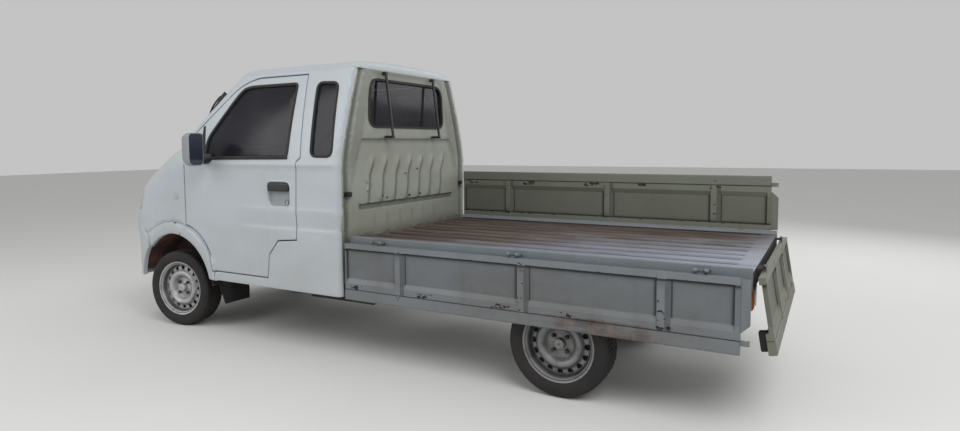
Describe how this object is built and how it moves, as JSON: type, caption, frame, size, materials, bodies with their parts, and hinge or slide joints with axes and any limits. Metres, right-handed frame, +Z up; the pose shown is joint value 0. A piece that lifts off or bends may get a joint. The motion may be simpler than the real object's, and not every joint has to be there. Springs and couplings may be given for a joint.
{
  "type": "mini pickup truck",
  "caption": "Small drop-side truck with an extended cab: turning and steering wheels, opening doors and bonnet, and three gates that fold down.",
  "frame": {"origin": "on the ground, in the middle of the truck's length and width", "axes": "+X forward, +Y to the driver's left, +Z up"},
  "size_m": [4.381, 1.826, 1.768],
  "materials": {
    "cab_paint": "aged white-blue paint",
    "bed_paint": "worn grey-blue paint with rust",
    "chassis_black": "satin black paint",
    "engine_iron": "rough cast",
    "exhaust_steel": "dull",
    "dark_metal": "satin",
    "tinted_glass": "dark tinted",
    "lamp_clear": "clear",
    "lamp_red": "gloss",
    "black_trim": "matte",
    "flap_rubber": "matte",
    "bumper_plastic": "aged paint",
    "mirror_housing": "satin",
    "dash_plastic": "matte",
    "seat_fabric": "woven",
    "wheel_steel": "silver-grey paint",
    "tyre_rubber": "matte"
  },
  "bodies": {
    "chassis": {"frame": "chassis_black", "engine_block": "engine_iron", "propshaft": "chassis_black", "fuel_tank": "dark_metal", "exhaust": "exhaust_steel", "rear_axle": "chassis_black", "leaf_springs": "chassis_black", "front_suspension": "chassis_black", "cab_floor": "dark_metal", "cab_side_left": "cab_paint", "cab_side_right": "cab_paint", "cab_roof": "cab_paint", "cab_rear_wall": "cab_paint", "nose_panel": "cab_paint", "front_bumper": "bumper_plastic", "headlamps": "lamp_clear", "grille": "black_trim", "windscreen": "tinted_glass", "rear_window": "tinted_glass", "quarter_glass": "tinted_glass", "window_guard": "black_trim", "dashboard": "dash_plastic", "seats": "seat_fabric", "wipers": "black_trim", "mudflaps": "flap_rubber", "bed_floor": "bed_paint", "bed_frame": "chassis_black", "tail_lamps": "lamp_red"},
    "bonnet": {"bonnet": "cab_paint"},
    "steering_wheel": {"steering_wheel": "dash_plastic"},
    "door_left": {"door_left": "cab_paint", "door_glass_left": "tinted_glass", "mirror_left": "mirror_housing"},
    "door_right": {"door_right": "cab_paint", "door_glass_right": "tinted_glass", "mirror_right": "mirror_housing"},
    "gate_left": {"gate_left": "bed_paint"},
    "gate_right": {"gate_right": "bed_paint"},
    "tailgate": {"tailgate": "bed_paint"},
    "knuckle_left": {"knuckle_left": "chassis_black"},
    "knuckle_right": {"knuckle_right": "chassis_black"},
    "wheel_front_left": {"wheel_front_left": "wheel_steel", "tyre_front_left": "tyre_rubber"},
    "wheel_front_right": {"wheel_front_right": "wheel_steel", "tyre_front_right": "tyre_rubber"},
    "wheel_rear_left": {"wheel_rear_left": "wheel_steel", "tyre_rear_left": "tyre_rubber"},
    "wheel_rear_right": {"wheel_rear_right": "wheel_steel", "tyre_rear_right": "tyre_rubber"}
  },
  "joints": [
    {"name": "steer_left", "type": "hinge", "parent": "chassis", "child": "knuckle_left", "pos_m": [1.55, 0.585, 0.262], "axis": [0, 0, 1], "range_deg": [-40, 24]},
    {"name": "steer_right", "type": "hinge", "parent": "chassis", "child": "knuckle_right", "pos_m": [1.55, -0.585, 0.262], "axis": [0, 0, 1], "range_deg": [-40, 24]},
    {"name": "wheel_front_left_spin", "type": "hinge", "parent": "knuckle_left", "child": "wheel_front_left", "pos_m": [1.54513, 0.61966, 0.262], "axis": [-0.1392, 0.9903, 0], "continuous": true},
    {"name": "wheel_front_right_spin", "type": "hinge", "parent": "knuckle_right", "child": "wheel_front_right", "pos_m": [1.55487, -0.61966, 0.262], "axis": [-0.1392, 0.9903, 0], "continuous": true},
    {"name": "wheel_rear_left_spin", "type": "hinge", "parent": "chassis", "child": "wheel_rear_left", "pos_m": [-1.235, 0.575, 0.262], "axis": [0, 1, 0], "continuous": true},
    {"name": "wheel_rear_right_spin", "type": "hinge", "parent": "chassis", "child": "wheel_rear_right", "pos_m": [-1.235, -0.575, 0.262], "axis": [0, 1, 0], "continuous": true},
    {"name": "steering_wheel_turn", "type": "hinge", "parent": "chassis", "child": "steering_wheel", "pos_m": [0.85, 0.33, 1.08], "axis": [-0.848, 0, 0.5299], "range_deg": [-605, 365]},
    {"name": "door_left_hinge", "type": "hinge", "parent": "chassis", "child": "door_left", "pos_m": [1.41, 0.727, 0.9], "axis": [0, 0, -1], "range_deg": [0, 62]},
    {"name": "door_right_hinge", "type": "hinge", "parent": "chassis", "child": "door_right", "pos_m": [1.41, -0.727, 0.9], "axis": [0, 0, 1], "range_deg": [0, 62]},
    {"name": "bonnet_hinge", "type": "hinge", "parent": "chassis", "child": "bonnet", "pos_m": [1.474, 0, 1.222], "axis": [0, -1, 0], "range_deg": [0, 55]},
    {"name": "gate_left_hinge", "type": "hinge", "parent": "chassis", "child": "gate_left", "pos_m": [-1.018, 0.69, 0.7], "axis": [1, 0, 0], "range_deg": [0, 180]},
    {"name": "gate_right_hinge", "type": "hinge", "parent": "chassis", "child": "gate_right", "pos_m": [-1.018, -0.69, 0.7], "axis": [1, 0, 0], "range_deg": [0, 180]},
    {"name": "tailgate_hinge", "type": "hinge", "parent": "chassis", "child": "tailgate", "pos_m": [-2.13, 0, 0.7], "axis": [0, 1, 0], "range_deg": [0, 171]}
  ],
  "couplings": [
    {"joint": "steer_right", "follows": "steer_left", "ratio": 1},
    {"joint": "steering_wheel_turn", "follows": "steer_left", "ratio": 15}
  ]
}
